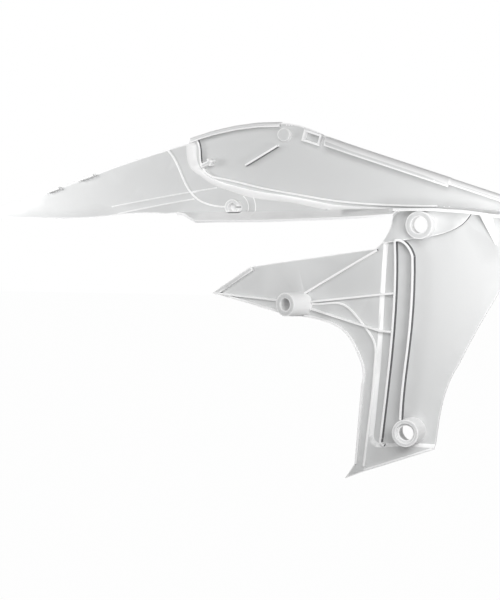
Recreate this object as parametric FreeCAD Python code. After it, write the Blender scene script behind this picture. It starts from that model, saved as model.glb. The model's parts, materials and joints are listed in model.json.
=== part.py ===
import FreeCAD, Part
import math
import os

# Left radiator shroud of a dirt bike: one injection moulding.
# Millimetres. +X is forward, +Y is outward from the bike, +Z is up.
# The origin is the centre of the end face of the upper radiator boss, which lies on the radiator.
# A point of an outline is (x, z), because the shroud is drawn as seen from the bike.

Vector = FreeCAD.Vector

# Wall and moulding details
wall = 2.6
rib_width = 2.0
blade_height = 8.0
blade_width = 2.4
brace_height = 4.0
bead_height = 3.0
low_rib_height = 1.6
overlap = 0.3
reach = 300.0
spare = 20.0
ramp_runout = 0.15

# Inner skin of the arm, the long upper piece: where it lies, how it leans and how it flares
arm_base = 10.0
arm_lean = 0.09
arm_flare = 0.45e-6
arm_narrow_x = -60.0
arm_crown = 0.0009
arm_crown_z = 12.0

# Inner skin of the side panel: a rounded valley that opens to the front and to the rear
panel_base = 12.0
valley_x = -25.0
valley_round = 30.0
front_slope = 0.20
rear_slope = -0.25
panel_splay = 0.06

# Levels that stand out from the skins, towards the outside of the bike
plateau_step = 7.0
pocket_step = 3.5
pad_rise = 2.5

# Outline of the arm
tail_top = [(-465.0, 7.5), (-389.0, 33.5), (-339.0, 52.0), (-263.0, 76.5), (-240.5, 83.0)]
crest = [(-239.0, 88.0), (-198.5, 99.0), (-167.0, 103.2), (-137.0, 102.8), (-116.0, 97.2), (-95.0, 87.5)]
front_tip = (129.5, 12.8)
arm_bottom = [(129.5, 12.0), (77.0, 14.4), (49.0, 16.0), (-39.0, 15.0), (-83.5, 14.2)]
strip_bottom = [(-83.5, 14.2), (-167.0, 13.0), (-251.0, 11.2), (-267.0, 10.5)]
tail_bottom = [(-267.0, 10.5), (-317.0, 9.4), (-344.0, 6.6), (-400.0, 5.6), (-465.0, 6.0)]

# Fold between the arm's strip and its plateau: foot on the strip, head on the plateau
fold_foot = [(-242.4, 112.0), (-242.3, 66.0), (-239.3, 57.8), (-230.6, 50.5), (-220.5, 43.3), (-201.4, 35.2),
             (-174.2, 27.0), (-135.5, 22.6), (-101.0, 15.6), (-60.0, 12.0), (60.0, 6.0), (150.0, 2.0)]
fold_head = [(-239.5, 112.0), (-234.6, 64.0), (-232.4, 58.5), (-226.6, 53.0), (-216.5, 45.8), (-199.0, 39.6),
             (-172.0, 33.4), (-135.0, 28.0), (-97.0, 20.4), (-58.0, 17.4), (60.0, 14.0), (150.0, 8.0)]

# Lower flange of the arm: x, drop of the rim below the arm's edge, depth
flange_stations = [(-252.0, 1.6, 6.0), (-243.0, 2.4, 12.0), (-228.0, 10.4, 20.0), (-158.0, 10.9, 20.0),
                   (-77.0, 8.9, 20.0), (-24.0, 6.8, 20.0)]
# Shelf between the arm and the side panel: x, drop of the rim below the arm's edge, depth
shelf_stations = [(-34.0, 0.0, 6.0), (-25.0, 0.0, 21.0), (15.0, 0.6, 20.0), (49.0, 2.6, 19.0), (77.0, 5.0, 18.0), (126.0, 2.0, 9.0)]
shelf_thickness = 3.0
root_cover = 1.2

# Rolled edge along the top of the arm: where each stretch runs, and its radius
roll_flat = 3.0
roll_lift = 0.7
rear_roll_span = (-238.5, -144.0)
rear_roll_radius = 5.0
front_roll_span = (-97.0, 28.0)
front_roll_radius = 9.5
nose_roll_span = (28.0, 127.0)
nose_roll_radius = 6.5
nose_roll_lift = 0.3
roll_spacing = 25.0

# Outline of the side panel
web_edge = [(-20.0, 14.4), (-30.0, 6.7), (-31.8, -0.2), (-37.8, -11.8), (-41.8, -18.0)]
wing_top = [(-50.0, -24.7), (-196.5, -45.5)]
wing_tip = (-246.0, -75.2)
wing_bottom = [(-203.0, -84.7), (-150.0, -97.0)]
wing_corner = [(-138.0, -96.6), (-103.0, -102.9), (-85.0, -112.5), (-72.5, -131.0), (-66.5, -147.0), (-67.9, -164.5)]
leg_back = [(-67.9, -164.5), (-76.8, -247.7)]
leg_tip = (-89.3, -264.6)
leg_bottom = [(-65.4, -254.8), (9.0, -228.7)]
nose_edge = [(9.0, -228.7), (16.0, -186.0), (23.2, -161.7), (33.1, -142.7)]
front_edge = [(33.1, -142.7), (74.2, -67.4), (128.5, 11.0)]

# Pocket in the side panel that takes the edge of the radiator: the foot and the head of its sloping edge
pocket_foot = [(-36.0, 55.0), (-39.4, 0.0), (-45.7, -68.9), (-50.4, -135.5), (-56.0, -186.4), (-59.6, -214.0),
               (-59.4, -223.0), (-54.6, -228.2), (-46.0, -229.0), (-30.0, -227.4), (0.0, -226.6), (40.0, -232.0)]
pocket_head = [(-32.0, 55.0), (-35.4, 0.0), (-41.7, -68.9), (-46.4, -135.5), (-52.0, -186.4), (-55.4, -213.0),
               (-55.4, -220.4), (-52.4, -224.0), (-45.6, -225.4), (-30.0, -224.2), (0.0, -223.4), (40.0, -228.8)]

# Flat pad that carries the upper boss
pad_edge = [(-70.0, -23.0), (-38.6, -18.6), (-5.0, -13.7), (9.0, -11.5), (23.0, -8.0), (38.8, 0.0), (47.7, 10.0), (53.0, 30.0)]

# Bosses: the end faces of the two radiator bosses lie in the plane y = 0
upper_boss = (0.0, 0.0)
upper_boss_diameter = 28.0
upper_bore_diameter = 17.0
lower_boss = (-13.6, -210.0)
lower_boss_diameter = 27.5
lower_bore_diameter = 15.0
grommet_diameter = 20.0
grommet_depth = 4.0
end_wall = 3.0
cup_wall = 2.6

# Tank boss, turned about the vertical to meet the tank
tank_boss_root = (-136.0, -83.0)
tank_boss_length = 28.0
tank_boss_turn = 21.0
tank_boss_diameter = 24.5
tank_bore_diameter = 13.0
tank_end_wall = 6.0

# Locating socket on the arm's strip
socket = (-193.5, 17.5)
socket_diameter = 16.0
socket_bore_diameter = 9.0
socket_height = 8.0
socket_slit = 1.6
socket_sink = 0.6

# Peg in the corner of the fold
peg_foot = (-228.0, 59.5)
peg_head = (-219.0, 63.5)
peg_diameter = 3.6
peg_head_size = 8.0
peg_head_web = 2.0
peg_height = 9.0

# Small features near the crest
button = (-141.7, 91.4)
button_radius = 7.8
button_rise = 3.0
button_taper = 1.2
clip_box = (-111.5, 88.0)
clip_box_length = 19.0
clip_box_width = 12.0
clip_box_wall = 2.2
clip_box_height = 7.0
clip_box_turn = 18.0

# Ribs and beads: each is a path on the inner side
fold_rib = [(-235.0, 90.0), (-229.6, 66.0), (-227.0, 56.0), (-221.0, 50.4), (-208.0, 46.8), (-167.4, 37.4),
            (-135.4, 31.6), (-96.0, 24.9), (-56.7, 21.0), (14.7, 19.0)]
fold_rib_height = 4.0
slash_rib = [(-182.2, 60.3), (-148.0, 80.0)]
slash_rib_height = 6.0
socket_rib = [(-262.0, 76.0), (-251.8, 58.9), (-242.6, 37.5), (-232.4, 25.9), (-220.6, 20.3), (-201.0, 18.0)]
styling_lines = [[(-323.0, 17.6), (-243.0, 32.5), (-212.0, 37.5)], [(-316.0, 10.5), (-264.0, 21.0), (-236.0, 26.0)]]
styling_height = 0.5
tail_tab_spans = [(-388.0, -376.0), (-355.0, -340.0)]
tail_tab_height = 6.0
radiator_rib_rear = [(-27.8, -16.0), (-27.6, -46.5), (-28.6, -70.0), (-32.6, -117.7), (-37.9, -161.1), (-46.0, -219.0)]
radiator_rib_foot = [(-46.0, -219.0), (-46.2, -223.6), (-42.4, -226.4)]
radiator_rib_front = [(-9.4, -32.0), (-10.0, -63.1), (-14.7, -117.2), (-21.0, -162.7), (-24.3, -199.0)]
radiator_rib_cap = [(-27.8, -16.0), (-22.6, -15.8), (-11.0, -27.2), (-9.4, -32.0)]
braces = [[(-132.0, -72.0), (-47.0, -25.6)], [(-125.5, -80.9), (-29.0, -69.3)], [(-127.0, -87.6), (-46.0, -108.2)],
          [(-46.0, -108.2), (-32.6, -109.2)], [(-246.0, -75.0), (-147.0, -81.6)]]
flank_rib = [(-126.0, -82.6), (-100.0, -81.4), (-88.0, -82.4), (-79.6, -87.2), (-67.0, -100.0), (-55.4, -114.6),
             (-51.6, -124.0), (-51.6, -136.0), (-57.2, -186.4), (-61.4, -214.0), (-66.6, -250.0)]
edge_inset = 1.4
tip_bead_width = 4.4

# Gusset between the shelf and the side panel
gusset_top_x = 66.0
gusset_drop = 36.0
gusset_lean_x = 6.0
gusset_depth = 17.0
gusset_sweep = 9.0


def arm_depth(x, z):
    """Depth of the arm's inner skin: it flares away from its narrow place and leans in at the top."""
    flare = arm_flare * ((x - arm_narrow_x) ** 3 + arm_narrow_x ** 3)
    return arm_base + arm_lean * x + flare - arm_crown * (z - arm_crown_z) ** 2


def panel_depth(x, z):
    """Depth of the side panel's inner skin: two slopes that meet in a rounded valley."""
    lean = (front_slope + rear_slope) / 2
    opening = (front_slope - rear_slope) / 2
    from_valley = x - valley_x
    rise = opening * (math.hypot(from_valley, valley_round) - valley_round)
    return panel_base + lean * from_valley + rise - panel_splay * z


def skin_face(depth_of, left, right, low, high):
    """A smooth face through the depths over a rectangle."""
    columns = 11
    rows = 5
    grid = []
    for i in range(columns):
        x = left + (right - left) * i / (columns - 1)
        line = []
        for j in range(rows):
            z = low + (high - low) * j / (rows - 1)
            line.append(Vector(x, depth_of(x, z), z))
        grid.append(line)
    surface = Part.BSplineSurface()
    surface.interpolate(grid)
    return surface.toShape()


def inward(face, offset=0.0, depth=reach):
    """What lies on the bike's side of a face that is moved outward by the offset."""
    return face.translated(Vector(0, offset, 0)).extrude(Vector(0, -depth, 0))


def curve_through(places):
    """A straight edge through two places, or a smooth one through more."""
    if len(places) == 2:
        return Part.LineSegment(places[0], places[1])
    curve = Part.BSplineCurve()
    curve.interpolate(places)
    return curve


def flat_edge(points):
    """The edge of an outline, laid in the plane where prisms start."""
    places = [Vector(x, -reach, z) for x, z in points]
    return curve_through(places).toShape()


def prism(pieces):
    """A prism across the bike whose outline is made of pieces that meet end to end."""
    wire = Part.Wire([flat_edge(piece) for piece in pieces])
    return Part.Face(wire).extrude(Vector(0, 2 * reach, 0))


def prism_past(path, far_points):
    """A prism bounded by a smooth path on one side and by straight lines on the others."""
    corners = [path[-1]] + far_points + [path[0]]
    straight = [list(pair) for pair in zip(corners, corners[1:])]
    return prism([path] + straight)


def band(path, width):
    """A prism of even width along a path."""
    places = [Vector(x, -reach, z) for x, z in path]
    curve = curve_through(places)
    steps = 1 if len(path) == 2 else 2 * len(path)
    first = curve.FirstParameter
    last = curve.LastParameter
    sides = ([], [])
    for i in range(steps + 1):
        where = first + (last - first) * i / steps
        tangent = curve.tangent(where)[0]
        across = Vector(-tangent.z, 0, tangent.x) * (width / 2)
        sides[0].append(curve.value(where) + across)
        sides[1].append(curve.value(where) - across)
    edges = [curve_through(side).toShape() for side in sides]
    ends = [Part.LineSegment(sides[0][i], sides[1][i]).toShape() for i in (-1, 0)]
    wire = Part.Wire([edges[0], ends[0], edges[1], ends[1]])
    return Part.Face(wire).extrude(Vector(0, 2 * reach, 0))


def toward(start, end, distance):
    """The point at a distance from start on the way to end."""
    share = distance / math.dist(start, end)
    return (start[0] + (end[0] - start[0]) * share, start[1] + (end[1] - start[1]) * share)


def ramp_face(depth_of, foot, head, step):
    """A ramp from its foot on a skin to its head one step further out, carried a little past both."""
    low = []
    high = []
    for start, end in zip(foot, head):
        low_place = Vector(start[0], depth_of(*start), start[1])
        high_place = Vector(end[0], depth_of(*end) + step, end[1])
        past = (high_place - low_place) * ramp_runout
        low.append(low_place - past)
        high.append(high_place + past)
    return Part.makeRuledSurface(curve_through(low).toShape(), curve_through(high).toShape())


def stepped(skin, step, region, ramp, offset, depth):
    """What lies inside a skin that steps outward over a region and along the ramp at its edge."""
    raised = inward(skin, offset + step, depth)
    lump = inward(skin, offset, depth).fuse(raised.common(region))
    return lump.fuse(raised.common(inward(ramp, offset, depth - spare)))


def arm_lumps(skin):
    """What lies inside the arm's inner skin and inside its outer skin, with the plateau's step."""
    ramp = ramp_face(arm_depth, fold_foot, fold_head, plateau_step)
    head = [toward(end, start, -overlap) for start, end in zip(fold_foot, fold_head)]
    plateau = prism_past(head, [(head[-1][0], 160.0), (head[0][0], 160.0)])
    inner = stepped(skin, plateau_step, plateau, ramp, 0.0, reach + spare)
    outer = stepped(skin, plateau_step, plateau, ramp, wall, reach)
    return inner, outer


def pad_region(rise):
    """Prism above the pad's lower edge, moved up by the rise."""
    edge = [(x, z + rise) for x, z in pad_edge]
    return prism_past(edge, [(edge[0][0], edge[-1][1])])


def panel_lumps(skin):
    """What lies inside the side panel's inner and outer skins, with the pocket and the pad."""
    ramp = ramp_face(panel_depth, pocket_foot, pocket_head, pocket_step)
    head = [toward(end, start, -overlap) for start, end in zip(pocket_foot, pocket_head)]
    pocket = prism_past(head, [(190.0, head[-1][1]), (190.0, head[0][1])])
    lumps = []
    for offset, depth in ((0.0, reach + spare), (wall, reach)):
        lump = stepped(skin, pocket_step, pocket, ramp, offset, depth)
        lumps.append(lump.cut(pad_region(offset).cut(inward(skin, offset - pad_rise, depth + spare))))
    return lumps


def arm_outline():
    """Prism of the arm's outline."""
    return prism([tail_top, [tail_top[-1], crest[0]], crest, [crest[-1], front_tip], [front_tip, arm_bottom[0]],
                  arm_bottom, strip_bottom, tail_bottom, [tail_bottom[-1], tail_top[0]]])


def panel_outline():
    """Prism of the side panel's outline."""
    top = [front_edge[-1], (126.0, 14.4), web_edge[0]]
    return prism([web_edge, [web_edge[-1], wing_top[0]], wing_top, [wing_top[-1], wing_tip],
                  [wing_tip, wing_bottom[0]], wing_bottom, [wing_bottom[-1], wing_corner[0]], wing_corner, leg_back,
                  [leg_back[-1], leg_tip], [leg_tip, leg_bottom[0]], leg_bottom, nose_edge, front_edge,
                  top[:2], top[1:]])


def closed_wire(places):
    """A closed wire of straight edges."""
    return Part.makePolygon(places + places[:1])


def along(path, steps=40):
    """Points along the smooth curve through a path."""
    curve = curve_through([Vector(x, 0, z) for x, z in path])
    first = curve.FirstParameter
    last = curve.LastParameter
    places = [curve.value(first + (last - first) * i / steps) for i in range(steps + 1)]
    return [(place.x, place.z) for place in places]


def edge_height(chain, x):
    """Height of an outline at x, taken along its chain of points."""
    points = sorted(chain)
    for low, high in zip(points, points[1:]):
        if low[0] <= x <= high[0]:
            return low[1] + (high[1] - low[1]) * (x - low[0]) / (high[0] - low[0])
    raise ValueError("the outline doesn't reach x = %s" % x)


def flange_section(x, drop, depth):
    """The arm's lower flange at one station, as a sloping bar that starts in the skin."""
    edge = edge_height(along(arm_bottom) + along(strip_bottom)[1:], x)
    root = edge + root_cover
    back = arm_depth(x, root) + wall - overlap
    front = arm_depth(x, root) - depth
    slope = Vector(0, front - back, edge - drop + wall - root)
    slope.normalize()
    down = Vector(0, -slope.z, slope.y) * wall
    start = Vector(x, back, root)
    end = Vector(x, front, edge - drop + wall)
    return closed_wire([start, end, end + down, start + down])


def shelf_section(x, drop, depth):
    """The shelf at one station: it starts in the outer skin and carries both the arm and the side panel."""
    edge = edge_height(along(arm_bottom) + along(strip_bottom)[1:], x)
    root = edge + root_cover
    arm_back = arm_depth(x, root) + plateau_step + wall
    panel_back = panel_depth(x, root) + pocket_step + wall
    back = max(arm_back, panel_back) - overlap
    front = arm_depth(x, root) + plateau_step - depth
    thickness = Vector(0, 0, shelf_thickness)
    start = Vector(x, back, root)
    end = Vector(x, front, root - drop)
    return closed_wire([start, end, end - thickness, start - thickness])


def roll_section(x, radius, lift):
    """The rolled edge at one station: a flat that leaves the skin, then a quarter round that ends in a rim."""
    top = edge_height(along(crest) + [front_tip], x) + lift
    back = arm_depth(x, top) + plateau_step + wall - overlap
    start = arm_depth(x, top) + plateau_step - roll_flat
    middle = top - radius
    wires = []
    for size in (radius, radius - wall):
        slant = size * math.sqrt(0.5)
        arc = Part.Arc(Vector(x, start, middle + size), Vector(x, start - slant, middle + slant),
                       Vector(x, start - size, middle))
        flat = Part.LineSegment(Vector(x, back, middle + size), Vector(x, start, middle + size))
        wires.append([flat.toShape(), arc.toShape()])
    rim = Part.LineSegment(Vector(x, start - radius, middle), Vector(x, start - radius + wall, middle)).toShape()
    tail = Part.LineSegment(Vector(x, back, top - wall), Vector(x, back, top)).toShape()
    inner = wires[1][::-1]
    return Part.Wire(wires[0] + [rim] + inner + [tail])


def roll(span, radius, lift=roll_lift):
    """One stretch of the rolled edge."""
    steps = max(2, round((span[1] - span[0]) / roll_spacing))
    places = [span[0] + (span[1] - span[0]) * i / steps for i in range(steps + 1)]
    return lofted([roll_section(x, radius, lift) for x in places])


def lofted(sections):
    """A solid through its sections, straight between one and the next."""
    return Part.makeLoft(sections, True, True)


def between(stations, spacing):
    """The stations with even steps between them, so that a loft follows the curved skin."""
    filled = [stations[0]]
    for before, after in zip(stations, stations[1:]):
        steps = max(1, round((after[0] - before[0]) / spacing))
        for i in range(1, steps + 1):
            filled.append([low + (high - low) * i / steps for low, high in zip(before, after)])
    return filled


def beside(path, distance):
    """The path moved sideways: a positive distance lies to the right of its direction."""
    moved = []
    for i, point in enumerate(path):
        before = path[max(i - 1, 0)]
        after = path[min(i + 1, len(path) - 1)]
        length = math.dist(before, after)
        aside = ((after[1] - before[1]) / length, (before[0] - after[0]) / length)
        moved.append((point[0] + aside[0] * distance, point[1] + aside[1] * distance))
    return moved


def ribs(outer, skin, paths, height, width=rib_width, level=0.0):
    """Ribs on the inner side: their tops follow the skin at an even height above the level."""
    bands = [band(path, width) for path in paths]
    joined = bands[0].fuse(bands[1:]) if len(bands) > 1 else bands[0]
    return joined.common(outer).cut(inward(skin, level - height, reach + spare))


def peg_paths():
    """The peg's neck, and the two webs that cross in its head."""
    along = Vector(peg_head[0] - peg_foot[0], 0, peg_head[1] - peg_foot[1])
    along.normalize()
    webs = []
    for way in (along, Vector(-along.z, 0, along.x)):
        aside = way * (peg_head_size / 2)
        webs.append([(peg_head[0] - aside.x, peg_head[1] - aside.z), (peg_head[0] + aside.x, peg_head[1] + aside.z)])
    return webs


def tail_tabs():
    """Short ribs close under the top edge of the tail."""
    tabs = []
    for span in tail_tab_spans:
        tabs.append([(x, edge_height(along(tail_top), x) - rib_width / 2) for x in span])
    return tabs


def arm_ribs(outer, skin):
    """Ribs, tabs and peg on the arm."""
    return [ribs(outer, skin, [fold_rib], fold_rib_height, 1.8, plateau_step),
            ribs(outer, skin, [slash_rib], slash_rib_height, rib_width, plateau_step),
            ribs(outer, skin, [socket_rib], low_rib_height, 1.8),
            ribs(outer, skin, styling_lines, styling_height, 1.2),
            ribs(outer, skin, tail_tabs(), tail_tab_height),
            ribs(outer, skin, [[peg_foot, peg_head]], peg_height, peg_diameter, plateau_step),
            ribs(outer, skin, peg_paths(), peg_height, peg_head_web, plateau_step)]


def panel_ribs(outer, skin):
    """Ribs and beads on the side panel."""
    blades = [radiator_rib_rear, radiator_rib_foot, radiator_rib_front, radiator_rib_cap]
    tip_edge = beside([wing_top[-1], wing_tip], -tip_bead_width / 2)
    edges = [[wing_tip, wing_bottom[0]], wing_bottom, wing_corner, leg_back, leg_bottom]
    beads = [beside(edge, -edge_inset) for edge in edges]
    return [ribs(outer, skin, blades, blade_height - pocket_step, blade_width),
            ribs(outer, skin, braces, brace_height),
            ribs(outer, skin, [flank_rib], low_rib_height),
            ribs(outer, skin, beads, bead_height),
            ribs(outer, skin, [tip_edge], bead_height, tip_bead_width)]


def across(point, start, end, diameter):
    """A cylinder across the bike between two depths."""
    return Part.makeCylinder(diameter / 2, end - start, Vector(point[0], start, point[1]), Vector(0, 1, 0))


def tank_axis():
    """End face centre of the tank boss and the direction from there into the boss."""
    turn = math.radians(tank_boss_turn)
    inside = Vector(math.sin(turn), math.cos(turn), 0)
    root = Vector(tank_boss_root[0], panel_depth(*tank_boss_root), tank_boss_root[1])
    return root - inside * tank_boss_length, inside


def bosses(arm_outer, panel_outer):
    """Posts that carry the bolts, and the locating socket."""
    end, inside = tank_axis()
    posts = [across(upper_boss, 0.0, 60.0, upper_boss_diameter).common(panel_outer),
             across(lower_boss, 0.0, 90.0, lower_boss_diameter).common(panel_outer),
             Part.makeCylinder(tank_boss_diameter / 2, 90.0, end, inside).common(panel_outer)]
    floor = arm_depth(*socket)
    post = across(socket, floor - socket_height, floor + 20.0, socket_diameter).common(arm_outer)
    slit = Part.makeBox(socket_diameter, socket_height, socket_slit,
                        Vector(socket[0], floor - socket_height, socket[1] - socket_slit / 2))
    return posts + [post.cut(slit)]


def hollows():
    """Bores for the bolts and the cups that take their heads from outside."""
    end, inside = tank_axis()
    cup_floor = grommet_depth + end_wall
    socket_floor = arm_depth(*socket) + socket_sink
    return [across(socket, socket_floor - 2 * socket_height, socket_floor, socket_bore_diameter),
            across(upper_boss, -5.0, 90.0, upper_bore_diameter),
            across(lower_boss, -5.0, 90.0, lower_bore_diameter),
            across(lower_boss, -5.0, grommet_depth, grommet_diameter),
            across(lower_boss, cup_floor, 90.0, lower_boss_diameter - 2 * cup_wall),
            Part.makeCylinder(tank_bore_diameter / 2, 100.0, end - inside * 5.0, inside),
            Part.makeCylinder(tank_boss_diameter / 2 - cup_wall, 90.0, end + inside * tank_end_wall, inside)]


def crest_details(outer, skin):
    """A round button and a small clip box just under the crest."""
    floor = arm_depth(*button) + plateau_step
    top = Vector(button[0], floor - button_rise, button[1])
    dome = Part.makeCone(button_radius - button_taper, button_radius, button_rise + wall, top, Vector(0, 1, 0))
    frames = []
    for inset in (0.0, clip_box_wall):
        length = clip_box_length - 2 * inset
        width = clip_box_width - 2 * inset
        block = Part.makeBox(length, 2 * reach, width, Vector(-length / 2, -reach, -width / 2))
        block.rotate(Vector(0, 0, 0), Vector(0, 1, 0), clip_box_turn)
        block.translate(Vector(clip_box[0], 0, clip_box[1]))
        frames.append(block)
    below = inward(skin, plateau_step - clip_box_height, reach + spare)
    frame = frames[0].cut(frames[1]).common(outer).cut(below)
    return [dome.common(outer), frame]


def gusset():
    """A thin triangle that props the shelf on the side panel."""
    root = (gusset_top_x, 13.5)
    tip = (gusset_top_x + gusset_lean_x, 13.5 - gusset_drop)
    places = [Vector(point[0], panel_depth(*point) + pocket_step + 1.0, point[1]) for point in (root, tip)]
    places.append(places[0] + Vector(-gusset_sweep, -gusset_depth, 0))
    return Part.Face(closed_wire(places)).extrude(Vector(rib_width, 0, 0))


def shroud():
    """The whole moulding."""
    arm_skin = skin_face(arm_depth, -485.0, 150.0, -40.0, 125.0)
    panel_skin = skin_face(panel_depth, -275.0, 165.0, -290.0, 45.0)
    arm_inner, arm_outer = arm_lumps(arm_skin)
    panel_inner, panel_outer = panel_lumps(panel_skin)
    arm_block = arm_outer.common(arm_outline())
    panel_block = panel_outer.common(panel_outline())
    flange = lofted([flange_section(*station) for station in between(flange_stations, 24.0)])
    pieces = [panel_block.cut(panel_inner), flange.common(arm_outer)]
    pieces.append(lofted([shelf_section(*station) for station in between(shelf_stations, 24.0)]))
    pieces.append(roll(rear_roll_span, rear_roll_radius))
    pieces.append(roll(front_roll_span, front_roll_radius))
    pieces.append(roll(nose_roll_span, nose_roll_radius, nose_roll_lift))
    pieces += arm_ribs(arm_block, arm_skin)
    pieces += panel_ribs(panel_block, panel_skin)
    pieces += bosses(arm_block, panel_block)
    pieces += crest_details(arm_block, arm_skin)
    pieces.append(gusset())
    return arm_block.cut(arm_inner).fuse(pieces).cut(hollows())


def main():
    os.makedirs("parts", exist_ok=True)
    body = shroud()
    box = body.BoundBox
    print("solids", len(body.Solids), "valid", body.isValid(), "faces", len(body.Faces))
    print("box", [round(value, 1) for value in (box.XLength, box.YLength, box.ZLength)])
    print("volume", round(body.Volume))
    body.exportStep("parts/radiator_shroud.step")


main()
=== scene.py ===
import json
import math

import bmesh
import bpy
from bpy.props import FloatProperty, FloatVectorProperty, IntProperty, PointerProperty
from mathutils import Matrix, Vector


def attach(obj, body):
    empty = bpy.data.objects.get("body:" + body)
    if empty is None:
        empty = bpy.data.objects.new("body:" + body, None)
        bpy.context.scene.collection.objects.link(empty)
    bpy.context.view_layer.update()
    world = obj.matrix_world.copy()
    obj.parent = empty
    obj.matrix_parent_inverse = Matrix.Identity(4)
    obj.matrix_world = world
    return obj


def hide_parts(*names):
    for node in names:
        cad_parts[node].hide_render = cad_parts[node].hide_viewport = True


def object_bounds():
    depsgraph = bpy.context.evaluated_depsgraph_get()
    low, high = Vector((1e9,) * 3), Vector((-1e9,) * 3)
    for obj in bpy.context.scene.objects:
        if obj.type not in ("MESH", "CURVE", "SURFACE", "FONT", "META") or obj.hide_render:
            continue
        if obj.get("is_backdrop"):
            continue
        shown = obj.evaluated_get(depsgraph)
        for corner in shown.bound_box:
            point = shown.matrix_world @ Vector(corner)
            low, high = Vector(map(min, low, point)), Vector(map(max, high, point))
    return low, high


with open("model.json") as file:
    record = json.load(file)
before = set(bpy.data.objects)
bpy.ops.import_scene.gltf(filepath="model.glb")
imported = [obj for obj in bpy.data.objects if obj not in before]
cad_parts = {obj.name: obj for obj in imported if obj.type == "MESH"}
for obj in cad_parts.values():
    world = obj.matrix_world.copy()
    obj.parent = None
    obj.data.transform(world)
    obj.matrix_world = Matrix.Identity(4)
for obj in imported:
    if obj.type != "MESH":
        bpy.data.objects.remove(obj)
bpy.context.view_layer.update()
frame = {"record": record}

bl_info = {
    "name": "Dirt Bike Radiator Shroud",
    "version": (1, 0, 0),
    "blender": (4, 5, 0),
    "location": "View3D > Sidebar > Shroud",
    "description": "Finishes a white moulded radiator shroud and sets up its studio",
    "category": "Object",
}

BODY = "root"
MOULDING = "radiator_shroud"
MOULDING_PIECE = "shroud_moulding"
MM = 0.001
MOUNTS = {mount["name"]: Vector(mount["pos_m"]) for mount in frame["record"]["mounts"]}

JOIN_DISTANCE = 0.002 * MM
OCCLUSION_SAMPLES = 12

# Walls painted dark as shade, which show as dark lines: low and high corner (x, z) of where they
# stand, in millimetres
SHADED_WALLS = {
    "radiator_ribs": ((-50, -228), (-4, -14)),
    "radiator_cap": ((-30, -34), (-8, -13)),
    "slash_rib": ((-184, 58), (-146, 82)),
    "upright_rib": ((-238, 64), (-226, 92)),
    "pad_step": ((-20, -22), (52, 11)),
}
# Some of them stop this far from the middle of a boss, in millimetres
BOSS_REACH = 15.0

# Rays that lay marks on the moulding start on the bike's side of it and run outwards
MARK_RAY_START = -0.3
MARK_RAY_LENGTH = 1.0

# Rings beside the socket: where each arc starts, how far it sweeps, and how finely it is drawn
RING_START = math.radians(-25)
RING_SWEEP = math.radians(75)
RING_POINTS = 28
RING_SIDES = 10

# Rows of nibs: start (x, z) and step (x, z) in millimetres, and the number of nibs
NIB_ROWS = {
    "crest_nibs": ((-139.0, 101.0), (2.6, 0.0), 3),
    "roll_nibs": ((14.0, 44.5), (4.4, -2.4), 3),
    "fold_nibs": ((21.0, 18.2), (5.2, 0.0), 2),
}
# Length, depth and height of a nib before it is rounded, as shares of its length
NIB_SHAPE = (1.0, 0.6, 0.5)

# Lamps: place, target and size, in metres
LAMPS = {
    "Key lamp": ((0.6, -2.2, 0.7), (-0.1, 0.0, -0.05), 1.2),
    "Tail lamp": ((-0.52, -0.28, 0.06), (-0.46, 0.0, 0.01), 0.12),
    "Front lamp": ((0.20, -0.18, -0.05), (0.12, 0.05, -0.05), 0.12),
}
SENSOR_WIDTH = 36.0
FLOOR_REACH = 12.0
FLOOR_COLOUR = (0.9, 0.9, 0.9, 1.0)
FLOOR_ROUGHNESS = 0.9
FLOOR_WHITE_SHARE = 0.985


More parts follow.
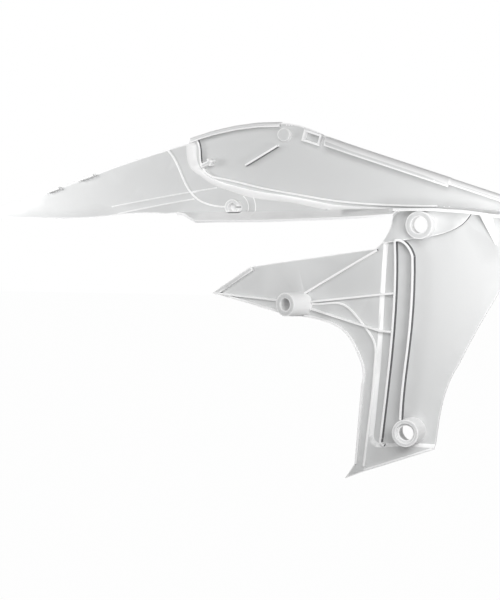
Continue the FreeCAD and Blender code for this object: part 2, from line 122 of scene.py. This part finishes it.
class ShroudPlastic(bpy.types.PropertyGroup):
    """Colour and surface of the white plastic, with its painted light and painted shade."""

    colour: FloatVectorProperty(
        name="Colour",
        description="Colour of the moulding's faces",
        subtype="COLOR",
        size=3,
        min=0.0,
        max=1.0,
        default=(0.635, 0.64, 0.64),
    )
    # Painted highlight: this near-white stands in for the light caught along outer edges and on rib
    # tops
    edge_highlight_colour: FloatVectorProperty(
        name="Edge highlight colour",
        description="Colour along outer edges and on the tops of ribs",
        subtype="COLOR",
        size=3,
        min=0.0,
        max=1.0,
        default=(0.97, 0.97, 0.97),
    )
    edge_reach: FloatProperty(
        name="Edge reach",
        description="How far from an outer edge its colour reaches",
        subtype="DISTANCE",
        unit="LENGTH",
        default=2.4 * MM,
    )
    # Painted light: steep walls and ramps get this lighter colour in place of the light they catch
    wall_light_colour: FloatVectorProperty(
        name="Wall light colour",
        description="Colour of the steep walls and ramps",
        subtype="COLOR",
        size=3,
        min=0.0,
        max=1.0,
        default=(0.92, 0.92, 0.92),
    )
    wall_start: FloatProperty(
        name="Wall start",
        description="Slope at which a face begins to count as a wall",
        subtype="ANGLE",
        unit="ROTATION",
        default=math.radians(21),
    )
    wall_full: FloatProperty(
        name="Wall full",
        description="Slope from which a face counts fully as a wall",
        subtype="ANGLE",
        unit="ROTATION",
        default=math.radians(33),
    )
    # Painted shade: narrow corners beside ribs and bosses turn towards this colour in place of
    # their shade
    crevice_shade_colour: FloatVectorProperty(
        name="Crevice shade colour",
        description="Colour in the corners beside ribs and bosses",
        subtype="COLOR",
        size=3,
        min=0.0,
        max=1.0,
        default=(0.50, 0.50, 0.505),
    )
    crevice_reach: FloatProperty(
        name="Crevice reach",
        description="How far from a corner the shade reaches",
        subtype="DISTANCE",
        unit="LENGTH",
        default=2.5 * MM,
    )
    # Painted shade: this dark colour stands in for the shade on the walls that show as dark lines
    shaded_wall_colour: FloatVectorProperty(
        name="Shaded wall colour",
        description="Colour of the walls that show as dark lines",
        subtype="COLOR",
        size=3,
        min=0.0,
        max=1.0,
        default=(0.10, 0.10, 0.105),
    )
    roughness: FloatProperty(
        name="Roughness",
        description="Roughness of the satin surface",
        min=0.0,
        max=1.0,
        default=0.42,
    )
    grain_size: FloatProperty(
        name="Grain size",
        description="Size of the fine moulded grain",
        subtype="DISTANCE",
        unit="LENGTH",
        default=0.9 * MM,
    )
    grain_depth: FloatProperty(
        name="Grain depth",
        description="Height of the fine moulded grain",
        subtype="DISTANCE",
        unit="LENGTH",
        default=0.012 * MM,
    )


class ShroudEdges(bpy.types.PropertyGroup):
    """Small rounds on every edge of the moulding."""

    width: FloatProperty(
        name="Edge round",
        description="Width of the round on each edge",
        subtype="DISTANCE",
        unit="LENGTH",
        default=0.35 * MM,
    )
    angle: FloatProperty(
        name="Edge angle",
        description="Edges that turn by more than this are rounded",
        subtype="ANGLE",
        unit="ROTATION",
        default=math.radians(32),
    )
    segments: IntProperty(
        name="Segments",
        description="Faces across each round",
        min=1,
        max=4,
        default=2,
    )


class ShroudMarks(bpy.types.PropertyGroup):
    """Small moulded marks on the inner side."""

    ring_radius: FloatProperty(
        name="Ring radius",
        description="Radius of the first ring beside the locating socket",
        subtype="DISTANCE",
        unit="LENGTH",
        default=14.5 * MM,
    )
    ring_step: FloatProperty(
        name="Ring step",
        description="Distance from one ring to the next",
        subtype="DISTANCE",
        unit="LENGTH",
        default=7.5 * MM,
    )
    ring_count: IntProperty(
        name="Rings",
        description="Number of rings",
        min=1,
        max=4,
        default=2,
    )
    ring_width: FloatProperty(
        name="Ring width",
        description="Width of each raised ring",
        subtype="DISTANCE",
        unit="LENGTH",
        default=0.7 * MM,
    )
    nib_length: FloatProperty(
        name="Nib length",
        description="Length of each nib before it is rounded",
        subtype="DISTANCE",
        unit="LENGTH",
        default=2.0 * MM,
    )


class ShroudStudio(bpy.types.PropertyGroup):
    """Camera, lamps and floor."""

    azimuth: FloatProperty(
        name="Camera azimuth",
        description="Turn of the camera towards the front of the bike",
        subtype="ANGLE",
        unit="ROTATION",
        default=math.radians(20),
    )
    elevation: FloatProperty(
        name="Camera elevation",
        description="Height of the camera as an angle",
        subtype="ANGLE",
        unit="ROTATION",
        default=math.radians(3),
    )
    distance: FloatProperty(
        name="Camera distance",
        description="Distance from the camera to the plane of the upper boss",
        subtype="DISTANCE",
        unit="LENGTH",
        default=2.0,
    )
    shift_right: FloatProperty(
        name="Boss to the right",
        description="How far right of the picture's centre the upper boss lies",
        subtype="DISTANCE",
        unit="LENGTH",
        default=0.169,
    )
    shift_up: FloatProperty(
        name="Boss above",
        description="How far above the picture's centre the upper boss lies",
        subtype="DISTANCE",
        unit="LENGTH",
        default=0.075,
    )
    lens: FloatProperty(
        name="Lens",
        description="Focal length on a sensor 36 mm long",
        unit="CAMERA",
        default=120.0,
    )
    floor_drop: FloatProperty(
        name="Floor drop",
        description="Clear height between the floor and the shroud",
        subtype="DISTANCE",
        unit="LENGTH",
        default=0.45,
    )
    key_power: FloatProperty(
        name="Key lamp",
        description="Power of the large soft lamp",
        unit="POWER",
        default=29.0,
    )
    tail_power: FloatProperty(
        name="Tail lamp",
        description="Power of the lamp near the tail",
        unit="POWER",
        default=0.72,
    )
    front_power: FloatProperty(
        name="Front lamp",
        description="Power of the lamp near the front",
        unit="POWER",
        default=0.46,
    )
    surround: FloatProperty(
        name="Surroundings",
        description="Brightness of the surroundings",
        default=0.12,
    )


def new_shader_group(name, inputs, outputs):
    """A shader node group with named inputs and outputs."""
    tree = bpy.data.node_groups.new(name, "ShaderNodeTree")
    for label, kind in inputs:
        tree.interface.new_socket(name=label, in_out="INPUT", socket_type=kind)
    for label, kind in outputs:
        tree.interface.new_socket(name=label, in_out="OUTPUT", socket_type=kind)
    return tree, tree.nodes.new("NodeGroupInput"), tree.nodes.new("NodeGroupOutput")


def put(links, socket, value):
    """Links a socket to an output, or sets it to a value."""
    if isinstance(value, bpy.types.NodeSocket):
        links.new(value, socket)
    else:
        socket.default_value = value


def eased(tree, value, low, high):
    """A smooth step of a value from 0 at low to 1 at high."""
    step = tree.nodes.new("ShaderNodeMapRange")
    step.interpolation_type = "SMOOTHSTEP"
    put(tree.links, step.inputs["Value"], value)
    put(tree.links, step.inputs["From Min"], low)
    put(tree.links, step.inputs["From Max"], high)
    return step.outputs["Result"]


def mixed_colour(tree, share, first, second):
    """The first colour where the share is 0 and the second where it is 1."""
    mix = tree.nodes.new("ShaderNodeMix")
    mix.data_type = "RGBA"
    colour_a, colour_b = mix.inputs[6], mix.inputs[7]
    tree.links.new(share, mix.inputs["Factor"])
    tree.links.new(first, colour_a)
    tree.links.new(second, colour_b)
    return mix.outputs[2]


def occlusion(tree, reach, inside):
    """How open it is before the surface or, with inside on, how thick the plastic is behind it."""
    sky = tree.nodes.new("ShaderNodeAmbientOcclusion")
    sky.samples = OCCLUSION_SAMPLES
    sky.inside = inside
    tree.links.new(reach, sky.inputs["Distance"])
    return sky.outputs["AO"]


def crevice_shade_group():
    """Paints shade: turns a clean colour towards a darker one where a corner is narrow."""
    tree, given, result = new_shader_group(
        "Crevice shade",
        (
            ("Clean colour", "NodeSocketColor"),
            ("Crevice shade colour", "NodeSocketColor"),
            ("Reach", "NodeSocketFloat"),
        ),
        (("Colour", "NodeSocketColor"),),
    )
    narrow, wide = 0.28, 0.62
    clean = eased(tree, occlusion(tree, given.outputs["Reach"], False), narrow, wide)
    crevice, open_face = given.outputs["Crevice shade colour"], given.outputs["Clean colour"]
    tree.links.new(mixed_colour(tree, clean, crevice, open_face), result.inputs["Colour"])
    return tree


def edge_highlight_group():
    """Paints a highlight: turns a colour towards a near-white edge colour where the plastic behind
    the surface ends close by.
    """
    tree, given, result = new_shader_group(
        "Painted edge highlight",
        (
            ("Colour", "NodeSocketColor"),
            ("Edge highlight colour", "NodeSocketColor"),
            ("Reach", "NodeSocketFloat"),
        ),
        (("Colour", "NodeSocketColor"),),
    )
    thin, thick = 0.62, 0.90
    face = eased(tree, occlusion(tree, given.outputs["Reach"], True), thin, thick)
    colour = mixed_colour(tree, face, given.outputs["Edge highlight colour"], given.outputs["Colour"])
    tree.links.new(colour, result.inputs["Colour"])
    return tree


def wall_light_group():
    """Paints light on steep walls and ramps, which turn away from the bike's side: a lighter colour
    stands in for the light they catch.
    """
    tree, given, result = new_shader_group(
        "Painted wall light",
        (
            ("Face colour", "NodeSocketColor"),
            ("Wall light colour", "NodeSocketColor"),
            ("Cosine of start", "NodeSocketFloat"),
            ("Cosine of full", "NodeSocketFloat"),
        ),
        (("Colour", "NodeSocketColor"),),
    )
    surface = tree.nodes.new("ShaderNodeNewGeometry")
    parts = tree.nodes.new("ShaderNodeSeparateXYZ")
    tree.links.new(surface.outputs["Normal"], parts.inputs["Vector"])
    level = tree.nodes.new("ShaderNodeMath")
    level.operation = "ABSOLUTE"
    tree.links.new(parts.outputs["Y"], level.inputs[0])
    full, start = given.outputs["Cosine of full"], given.outputs["Cosine of start"]
    face = eased(tree, level.outputs["Value"], full, start)
    colour = mixed_colour(tree, face, given.outputs["Wall light colour"], given.outputs["Face colour"])
    tree.links.new(colour, result.inputs["Colour"])
    return tree


def noise(tree, scale, detail):
    """Noise on the piece's own coordinates."""
    place = tree.nodes.new("ShaderNodeTexCoord")
    texture = tree.nodes.new("ShaderNodeTexNoise")
    tree.links.new(place.outputs["Object"], texture.inputs["Vector"])
    put(tree.links, texture.inputs["Scale"], scale)
    texture.inputs["Detail"].default_value = detail
    return texture.outputs["Fac"]


def moulded_grain_group():
    """Fine moulded grain with slow flow marks: a height and a small change in roughness."""
    tree, given, result = new_shader_group(
        "Moulded grain",
        (("Grain size", "NodeSocketFloat"), ("Roughness", "NodeSocketFloat")),
        (("Height", "NodeSocketFloat"), ("Roughness", "NodeSocketFloat")),
    )
    grain_detail = 2.0
    flow_scale, flow_detail = 14.0, 3.0
    flow_strength = 0.05
    scale = tree.nodes.new("ShaderNodeMath")
    scale.operation = "DIVIDE"
    scale.inputs[0].default_value = 1.0
    tree.links.new(given.outputs["Grain size"], scale.inputs[1])
    tree.links.new(noise(tree, scale.outputs["Value"], grain_detail), result.inputs["Height"])
    spread = tree.nodes.new("ShaderNodeMapRange")
    spread.inputs["To Min"].default_value = -flow_strength
    spread.inputs["To Max"].default_value = flow_strength
    tree.links.new(noise(tree, flow_scale, flow_detail), spread.inputs["Value"])
    total = tree.nodes.new("ShaderNodeMath")
    total.operation = "ADD"
    tree.links.new(given.outputs["Roughness"], total.inputs[0])
    tree.links.new(spread.outputs["Result"], total.inputs[1])
    tree.links.new(total.outputs["Value"], result.inputs["Roughness"])
    return tree


def group_node(nodes, name, build, values):
    """A node for a group, built the first time, with its inputs set to the values."""
    node = nodes.new("ShaderNodeGroup")
    node.node_tree = bpy.data.node_groups.get(name) or build()
    for label, value in values.items():
        node.inputs[label].default_value = value
    return node


def satin_plastic(name, plastic, colour, wall_light_colour, edge_highlight_colour):
    """Satin plastic with painted light on its walls and edges and painted shade in its corners,
    with a fine grain.
    """
    material = bpy.data.materials.new(name)
    material.use_nodes = True
    nodes = material.node_tree.nodes
    links = material.node_tree.links
    surface = nodes["Principled BSDF"]
    # Painted light on steep walls and ramps, picked by the slope of their normal
    walls = group_node(nodes, "Painted wall light", wall_light_group, {
        "Face colour": (*colour, 1.0),
        "Wall light colour": (*wall_light_colour, 1.0),
        "Cosine of start": math.cos(plastic.wall_start),
        "Cosine of full": math.cos(plastic.wall_full),
    })
    # Painted shade in narrow corners
    shade = group_node(nodes, "Crevice shade", crevice_shade_group, {
        "Crevice shade colour": (*plastic.crevice_shade_colour, 1.0),
        "Reach": plastic.crevice_reach,
    })
    # Painted highlight along outer edges and on rib tops
    highlight = group_node(nodes, "Painted edge highlight", edge_highlight_group, {
        "Edge highlight colour": (*edge_highlight_colour, 1.0),
        "Reach": plastic.edge_reach,
    })
    grain = group_node(nodes, "Moulded grain", moulded_grain_group, {
        "Grain size": plastic.grain_size,
        "Roughness": plastic.roughness,
    })
    bump = nodes.new("ShaderNodeBump")
    bump.inputs["Strength"].default_value = 1.0
    bump.inputs["Distance"].default_value = plastic.grain_depth
    links.new(walls.outputs["Colour"], shade.inputs["Clean colour"])
    links.new(shade.outputs["Colour"], highlight.inputs["Colour"])
    links.new(highlight.outputs["Colour"], surface.inputs["Base Color"])
    links.new(grain.outputs["Roughness"], surface.inputs["Roughness"])
    links.new(grain.outputs["Height"], bump.inputs["Height"])
    links.new(bump.outputs["Normal"], surface.inputs["Normal"])
    return material


def white_plastic(plastic):
    """The finish of the moulding and its marks, made once."""
    name = "White shroud plastic"
    colours = plastic.colour, plastic.wall_light_colour, plastic.edge_highlight_colour
    return bpy.data.materials.get(name) or satin_plastic(name, plastic, *colours)


def shaded_wall_plastic(plastic):
    """Painted shade for the walls that show as dark lines: a dark plastic stands in for the shade
    on them.
    """
    dark = plastic.shaded_wall_colour
    return satin_plastic("Painted shade on rib walls", plastic, dark, dark, dark)


def merged_copy(name, source):
    """A copy of a node's mesh with its loose triangles joined."""
    mesh = source.data.copy()
    piece = bpy.data.objects.new(name, mesh)
    bpy.context.collection.objects.link(piece)
    work = bmesh.new()
    work.from_mesh(mesh)
    bmesh.ops.remove_doubles(work, verts=work.verts, dist=JOIN_DISTANCE)
    bmesh.ops.dissolve_degenerate(work, edges=work.edges, dist=JOIN_DISTANCE)
    work.to_mesh(mesh)
    work.free()
    mesh.materials.clear()
    return piece


def smooth_shaded(piece):
    """Shades every face of a piece smoothly."""
    for polygon in piece.data.polygons:
        polygon.use_smooth = True


def apply_modifiers(piece):
    """Turns a piece and its modifiers into a plain mesh."""
    graph = bpy.context.evaluated_depsgraph_get()
    mesh = bpy.data.meshes.new_from_object(piece.evaluated_get(graph))
    piece.modifiers.clear()
    piece.data = mesh


def is_clear(x, z, mount):
    """Whether a place, in millimetres, lies clear of a mount's boss."""
    boss = MOUNTS[mount] / MM
    return math.hypot(x - boss.x, z - boss.z) > BOSS_REACH


def is_shaded_wall(centre, normal):
    """Whether a face's place and normal make it part of a wall that is painted dark as shade and
    shows as a dark line.
    """
    x, z = centre.x / MM, centre.z / MM
    off_upper_boss = is_clear(x, z, "upper_radiator_bore")
    off_lower_boss = is_clear(x, z, "lower_radiator_bore")
    forward = normal.x > 0.85
    steep = abs(normal.y) < 0.5
    wanted = {
        "radiator_ribs": forward and off_lower_boss,
        "radiator_cap": normal.x > 0.4 and abs(normal.y) < 0.4 and off_upper_boss,
        "slash_rib": normal.z < -0.6 and steep,
        "upright_rib": forward,
        "pad_step": normal.z < -0.5 and steep and off_upper_boss,
    }
    for wall, (low, high) in SHADED_WALLS.items():
        if wanted[wall] and low[0] < x < high[0] and low[1] < z < high[1]:
            return True
    return False


class SHROUD_OT_moulding(bpy.types.Operator):
    """Makes the visible moulding, with small rounds on its edges"""

    bl_idname = "shroud.moulding"
    bl_label = "Moulding"

    def execute(self, context):
        edges = context.scene.shroud_edges
        plastic = context.scene.shroud_plastic
        piece = merged_copy(MOULDING_PIECE, bpy.data.objects[MOULDING])
        smooth_shaded(piece)
        bevel = piece.modifiers.new("Edge rounds", "BEVEL")
        bevel.width = edges.width
        bevel.segments = edges.segments
        bevel.limit_method = "ANGLE"
        bevel.angle_limit = edges.angle
        bevel.use_clamp_overlap = True
        bevel.harden_normals = True
        apply_modifiers(piece)
        piece.data.materials.append(white_plastic(plastic))
        piece.data.materials.append(shaded_wall_plastic(plastic))
        shade_slot = len(piece.data.materials) - 1
        # Faces that turn forward or down in the listed places get the painted shade
        for polygon in piece.data.polygons:
            if is_shaded_wall(polygon.center, polygon.normal):
                polygon.material_index = shade_slot
        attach(piece, BODY)
        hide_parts(MOULDING)
        return {"FINISHED"}


class MarkTree:
    """A geometry node tree that takes named inputs and ends in a plain mesh with one material."""

    def __init__(self, name, inputs):
        self.tree = bpy.data.node_groups.new(name, "GeometryNodeTree")
        sockets = self.tree.interface
        sockets.new_socket(name="Geometry", in_out="OUTPUT", socket_type="NodeSocketGeometry")
        self.identifiers = {}
        for label, kind in inputs:
            socket = sockets.new_socket(name=label, in_out="INPUT", socket_type=kind)
            self.identifiers[label] = socket.identifier
        self.given = self.tree.nodes.new("NodeGroupInput").outputs
        self.result = self.tree.nodes.new("NodeGroupOutput")

    def node(self, kind, sockets, **settings):
        """A node with its settings, and with its sockets, by name or number, set or linked."""
        node = self.tree.nodes.new(kind)
        for label, value in settings.items():
            setattr(node, label, value)
        for label, value in sockets.items():
            put(self.tree.links, node.inputs[label], value)
        return node.outputs

    def on_moulding(self, geometry):
        """Moves points straight across the bike until they lie on the moulding's inner side."""
        target = self.node("GeometryNodeObjectInfo", {"Object": self.given["Moulding"]})
        here = self.node("GeometryNodeInputPosition", {})
        parts = self.node("ShaderNodeSeparateXYZ", {"Vector": here["Position"]})
        before = self.node("ShaderNodeCombineXYZ", {
            "X": parts["X"],
            "Y": MARK_RAY_START,
            "Z": parts["Z"],
        })
        hit = self.node("GeometryNodeRaycast", {
            "Target Geometry": target["Geometry"],
            "Source Position": before["Vector"],
            "Ray Direction": (0.0, 1.0, 0.0),
            "Ray Length": MARK_RAY_LENGTH,
        })
        moved = self.node("GeometryNodeSetPosition", {
            "Geometry": geometry,
            "Position": hit["Hit Position"],
        })
        return moved["Geometry"]

    def finish(self, geometry, material):
        """Ends the tree with real geometry and a material."""
        real = self.node("GeometryNodeRealizeInstances", {"Geometry": geometry})
        dressed = self.node("GeometryNodeSetMaterial", {
            "Geometry": real["Geometry"],
            "Material": material,
        })
        self.tree.links.new(dressed["Geometry"], self.result.inputs["Geometry"])

    def add_piece(self, name, values):
        """Adds a plain mesh made by the tree with its inputs set to the values."""
        piece = bpy.data.objects.new(name, bpy.data.meshes.new(name))
        bpy.context.collection.objects.link(piece)
        modifier = piece.modifiers.new(name, "NODES")
        modifier.node_group = self.tree
        for label, value in values.items():
            modifier[self.identifiers[label]] = value
        apply_modifiers(piece)
        if not piece.data.polygons:
            raise RuntimeError(name + " came out empty")
        smooth_shaded(piece)
        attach(piece, BODY)


def ring_tree(material):
    """An arc that is laid on the moulding and thickened to a low ridge."""
    ring = MarkTree("Socket ring", (
        ("Moulding", "NodeSocketObject"),
        ("Centre", "NodeSocketVector"),
        ("Radius", "NodeSocketFloat"),
        ("Width", "NodeSocketFloat"),
    ))
    arc = ring.node("GeometryNodeCurveArc", {
        "Resolution": RING_POINTS,
        "Radius": ring.given["Radius"],
        "Start Angle": RING_START,
        "Sweep Angle": RING_SWEEP,
    }, mode="RADIUS")
    upright = ring.node("GeometryNodeTransform", {
        "Geometry": arc["Curve"],
        "Translation": ring.given["Centre"],
        "Rotation": (math.radians(90), 0.0, 0.0),
    })
    half = ring.node("ShaderNodeMath", {0: ring.given["Width"], 1: 0.5}, operation="MULTIPLY")
    section = ring.node("GeometryNodeCurvePrimitiveCircle", {
        "Resolution": RING_SIDES,
        "Radius": half["Value"],
    })
    ridge = ring.node("GeometryNodeCurveToMesh", {
        "Curve": ring.on_moulding(upright["Geometry"]),
        "Profile Curve": section["Curve"],
        "Fill Caps": True,
    })
    ring.finish(ridge["Mesh"], material)
    return ring


def nib_tree(material):
    """A short row of rounded nibs that stand on the moulding."""
    row = MarkTree("Row of nibs", (
        ("Moulding", "NodeSocketObject"),
        ("Start", "NodeSocketVector"),
        ("Step", "NodeSocketVector"),
        ("Count", "NodeSocketInt"),
        ("Length", "NodeSocketFloat"),
    ))
    places = row.node("GeometryNodeMeshLine", {
        "Count": row.given["Count"],
        "Start Location": row.given["Start"],
        "Offset": row.given["Step"],
    })
    block = row.node("GeometryNodeMeshCube", {"Size": NIB_SHAPE})
    rounded = row.node("GeometryNodeSubdivisionSurface", {"Mesh": block["Mesh"], "Level": 2})
    nibs = row.node("GeometryNodeInstanceOnPoints", {
        "Points": row.on_moulding(places["Mesh"]),
        "Instance": rounded["Mesh"],
        "Scale": row.given["Length"],
    })
    row.finish(nibs["Instances"], material)
    return row


class SHROUD_OT_socket_rings(bpy.types.Operator):
    """Lays the faint raised rings beside the locating socket"""

    bl_idname = "shroud.socket_rings"
    bl_label = "Socket rings"

    def execute(self, context):
        marks = context.scene.shroud_marks
        ring = ring_tree(white_plastic(context.scene.shroud_plastic))
        for number in range(marks.ring_count):
            ring.add_piece("socket_ring_%d" % (number + 1), {
                "Moulding": bpy.data.objects[MOULDING_PIECE],
                "Centre": MOUNTS["locating_socket"],
                "Radius": marks.ring_radius + number * marks.ring_step,
                "Width": marks.ring_width,
            })
        return {"FINISHED"}


class SHROUD_OT_nibs(bpy.types.Operator):
    """Puts small nibs on the crest, on the rolled edge and at the end of the fold's rib"""

    bl_idname = "shroud.nibs"
    bl_label = "Nibs"

    def execute(self, context):
        marks = context.scene.shroud_marks
        row = nib_tree(white_plastic(context.scene.shroud_plastic))
        for name, (start, step, count) in NIB_ROWS.items():
            row.add_piece(name, {
                "Moulding": bpy.data.objects[MOULDING_PIECE],
                "Start": Vector((start[0] * MM, 0.0, start[1] * MM)),
                "Step": Vector((step[0] * MM, 0.0, step[1] * MM)),
                "Count": count,
                "Length": marks.nib_length,
            })
        return {"FINISHED"}


def camera_axes(studio):
    """The camera's view direction, and its right and up directions."""
    turn = studio.azimuth
    rise = studio.elevation
    forward = Vector((
        -math.sin(turn) * math.cos(rise),
        math.cos(turn) * math.cos(rise),
        -math.sin(rise),
    ))
    right = forward.cross(Vector((0, 0, 1))).normalized()
    return forward, right, right.cross(forward)


def add_camera(studio):
    """The camera stands where the photographer stood."""
    forward, right, up = camera_axes(studio)
    aim = -studio.shift_right * right - studio.shift_up * up
    camera = bpy.data.objects.new("Camera", bpy.data.cameras.new("Camera"))
    camera.data.lens = studio.lens
    camera.data.sensor_width = SENSOR_WIDTH
    camera.data.sensor_fit = "AUTO"
    camera.location = aim - forward * studio.distance
    camera.rotation_euler = forward.to_track_quat("-Z", "Y").to_euler()
    bpy.context.collection.objects.link(camera)
    bpy.context.scene.camera = camera


def add_lamp(name, place, target, size, power):
    """A square soft lamp that faces its target."""
    light = bpy.data.lights.new(name, "AREA")
    light.energy = power
    light.size = size
    lamp = bpy.data.objects.new(name, light)
    lamp.location = place
    lamp.rotation_euler = (Vector(target) - Vector(place)).to_track_quat("-Z", "Y").to_euler()
    bpy.context.collection.objects.link(lamp)


def seen_as_white(nodes, links, lit_shader, share):
    """A shader that seen, reflected and transmitted rays find plain white to the given share."""
    path = nodes.new("ShaderNodeLightPath")
    seen = nodes.new("ShaderNodeMath")
    seen.operation = "MAXIMUM"
    links.new(path.outputs["Is Camera Ray"], seen.inputs[0])
    links.new(path.outputs["Is Glossy Ray"], seen.inputs[1])
    either = nodes.new("ShaderNodeMath")
    either.operation = "MAXIMUM"
    links.new(seen.outputs["Value"], either.inputs[0])
    links.new(path.outputs["Is Transmission Ray"], either.inputs[1])
    part = nodes.new("ShaderNodeMath")
    part.operation = "MULTIPLY"
    part.inputs[1].default_value = share
    links.new(either.outputs["Value"], part.inputs[0])
    white = nodes.new("ShaderNodeEmission")
    mix = nodes.new("ShaderNodeMixShader")
    links.new(part.outputs["Value"], mix.inputs["Fac"])
    links.new(lit_shader, mix.inputs[1])
    links.new(white.outputs["Emission"], mix.inputs[2])
    return mix.outputs["Shader"]


def add_floor(studio):
    """A plain white floor below the shroud."""
    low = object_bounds()[0][2] - studio.floor_drop
    mesh = bpy.data.meshes.new("Floor")
    signs = (-1, -1), (1, -1), (1, 1), (-1, 1)
    corners = [(x * FLOOR_REACH, y * FLOOR_REACH, low) for x, y in signs]
    mesh.from_pydata(corners, [], [(0, 1, 2, 3)])
    floor = bpy.data.objects.new("Floor", mesh)
    bpy.context.collection.objects.link(floor)
    material = bpy.data.materials.new("White studio floor")
    material.use_nodes = True
    nodes = material.node_tree.nodes
    links = material.node_tree.links
    surface = nodes["Principled BSDF"]
    surface.inputs["Base Color"].default_value = FLOOR_COLOUR
    surface.inputs["Roughness"].default_value = FLOOR_ROUGHNESS
    white = seen_as_white(nodes, links, surface.outputs["BSDF"], FLOOR_WHITE_SHARE)
    links.new(white, nodes["Material Output"].inputs["Surface"])
    mesh.materials.append(material)
    floor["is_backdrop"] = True


def set_world(studio):
    """Dim surroundings that the camera sees as white."""
    world = bpy.data.worlds.new("Studio")
    bpy.context.scene.world = world
    world.use_nodes = True
    nodes = world.node_tree.nodes
    links = world.node_tree.links
    around = nodes["Background"]
    around.inputs["Color"].default_value = (1.0, 1.0, 1.0, 1.0)
    around.inputs["Strength"].default_value = studio.surround
    white = seen_as_white(nodes, links, around.outputs["Background"], 1.0)
    links.new(white, nodes["World Output"].inputs["Surface"])


class SHROUD_OT_stage(bpy.types.Operator):
    """Sets up the camera, the lamps and the white floor"""

    bl_idname = "shroud.stage"
    bl_label = "Stage"

    def execute(self, context):
        studio = context.scene.shroud_studio
        add_camera(studio)
        add_floor(studio)
        set_world(studio)
        powers = (studio.key_power, studio.tail_power, studio.front_power)
        for (name, (place, target, size)), power in zip(LAMPS.items(), powers):
            add_lamp(name, place, target, size, power)
        context.scene.view_settings.view_transform = "Standard"
        return {"FINISHED"}


class SHROUD_PT_panel(bpy.types.Panel):
    """Lists the pieces of the shroud and its studio"""

    bl_idname = "SHROUD_PT_panel"
    bl_label = "Radiator Shroud"
    bl_space_type = "VIEW_3D"
    bl_region_type = "UI"
    bl_category = "Shroud"

    def draw(self, context):
        for group in settings_groups:
            settings = getattr(context.scene, group)
            box = self.layout.box()
            for name in settings.__annotations__:
                box.prop(settings, name)
        for operator in operators:
            self.layout.operator(operator.bl_idname)


settings_groups = {
    "shroud_plastic": ShroudPlastic,
    "shroud_edges": ShroudEdges,
    "shroud_marks": ShroudMarks,
    "shroud_studio": ShroudStudio,
}
operators = (SHROUD_OT_moulding, SHROUD_OT_socket_rings, SHROUD_OT_nibs, SHROUD_OT_stage)
classes = (*settings_groups.values(), *operators, SHROUD_PT_panel)


def register():
    for item in classes:
        bpy.utils.register_class(item)
    for name, group in settings_groups.items():
        setattr(bpy.types.Scene, name, PointerProperty(type=group))


def unregister():
    for name in settings_groups:
        delattr(bpy.types.Scene, name)
    for item in reversed(classes):
        bpy.utils.unregister_class(item)


def main():
    register()
    bpy.ops.shroud.moulding()
    bpy.ops.shroud.socket_rings()
    bpy.ops.shroud.nibs()
    bpy.ops.shroud.stage()


if __name__ == "__main__":
    main()
